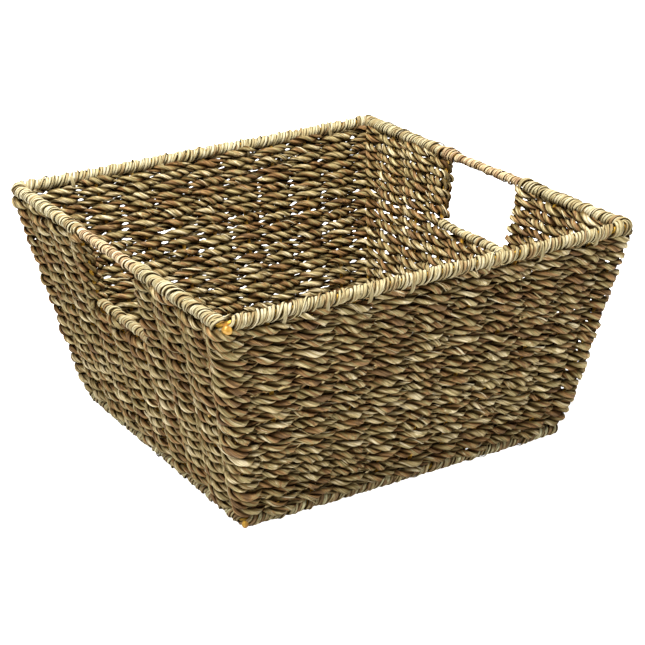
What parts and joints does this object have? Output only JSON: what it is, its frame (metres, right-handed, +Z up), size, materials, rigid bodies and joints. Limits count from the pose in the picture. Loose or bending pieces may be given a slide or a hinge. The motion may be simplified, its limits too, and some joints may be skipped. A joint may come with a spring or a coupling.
{
  "type": "storage basket",
  "caption": "Tapered rectangular basket of twisted seagrass cord woven round a wire frame, open on top, with a hand hole in each end and wrapped rims.",
  "frame": {"origin": "centre of the footprint, on the plane the basket stands on", "axes": "+Z up; +Y from the front wall to the back wall; +X to the right, from one hand-hole end to the other"},
  "size_m": [0.3308, 0.3572, 0.1735],
  "materials": {
    "gold_wire": "steel wire with a gold-yellow lacquer, satin, a little worn",
    "pale_wrap": "flat strands of pale sage-green seagrass wound in a helix, dry and matt with a faint sheen",
    "tan_wrap": "thin tan and brown seagrass strands wound tightly, matt",
    "green_cord": "two-ply twisted seagrass cord, olive and khaki with tan strands, matt, fibrous",
    "brown_cord": "two-ply twisted seagrass cord, orange-brown and tan with olive strands, matt, fibrous"
  },
  "bodies": {
    "root": {"back_base_wrap": "tan_wrap", "back_panel_cord": "green_cord", "back_rim_wrap": "pale_wrap", "base_hoop": "gold_wire", "corner_post_back_left": "gold_wire", "corner_post_back_right": "gold_wire", "corner_post_front_left": "gold_wire", "corner_post_front_right": "gold_wire", "cross_wire_1": "gold_wire", "cross_wire_2": "gold_wire", "cross_wire_3": "gold_wire", "cross_wire_4": "gold_wire", "cross_wire_5": "gold_wire", "cross_wire_6": "gold_wire", "cross_wire_7": "gold_wire", "cross_wire_8": "gold_wire", "cross_wire_9": "gold_wire", "floor_cord": "green_cord", "front_base_wrap": "tan_wrap", "front_panel_cord": "green_cord", "front_rim_wrap": "pale_wrap", "left_back_hand_hole_stake": "gold_wire", "left_back_inner_stake": "gold_wire", "left_back_outer_stake": "gold_wire", "left_back_under_sill_stake": "gold_wire", "left_front_hand_hole_stake": "gold_wire", "left_front_inner_stake": "gold_wire", "left_front_outer_stake": "gold_wire", "left_front_under_sill_stake": "gold_wire", "left_grip_wrap": "tan_wrap", "left_sill_wire": "gold_wire", "left_sill_wrap": "pale_wrap", "loop_cord_a": "green_cord", "loop_cord_b": "brown_cord", "right_back_hand_hole_stake": "gold_wire", "right_back_inner_stake": "gold_wire", "right_back_outer_stake": "gold_wire", "right_back_under_sill_stake": "gold_wire", "right_front_hand_hole_stake": "gold_wire", "right_front_inner_stake": "gold_wire", "right_front_outer_stake": "gold_wire", "right_front_under_sill_stake": "gold_wire", "right_grip_wrap": "tan_wrap", "right_sill_wire": "gold_wire", "right_sill_wrap": "pale_wrap", "rim_wire": "gold_wire"}
  },
  "joints": []
}
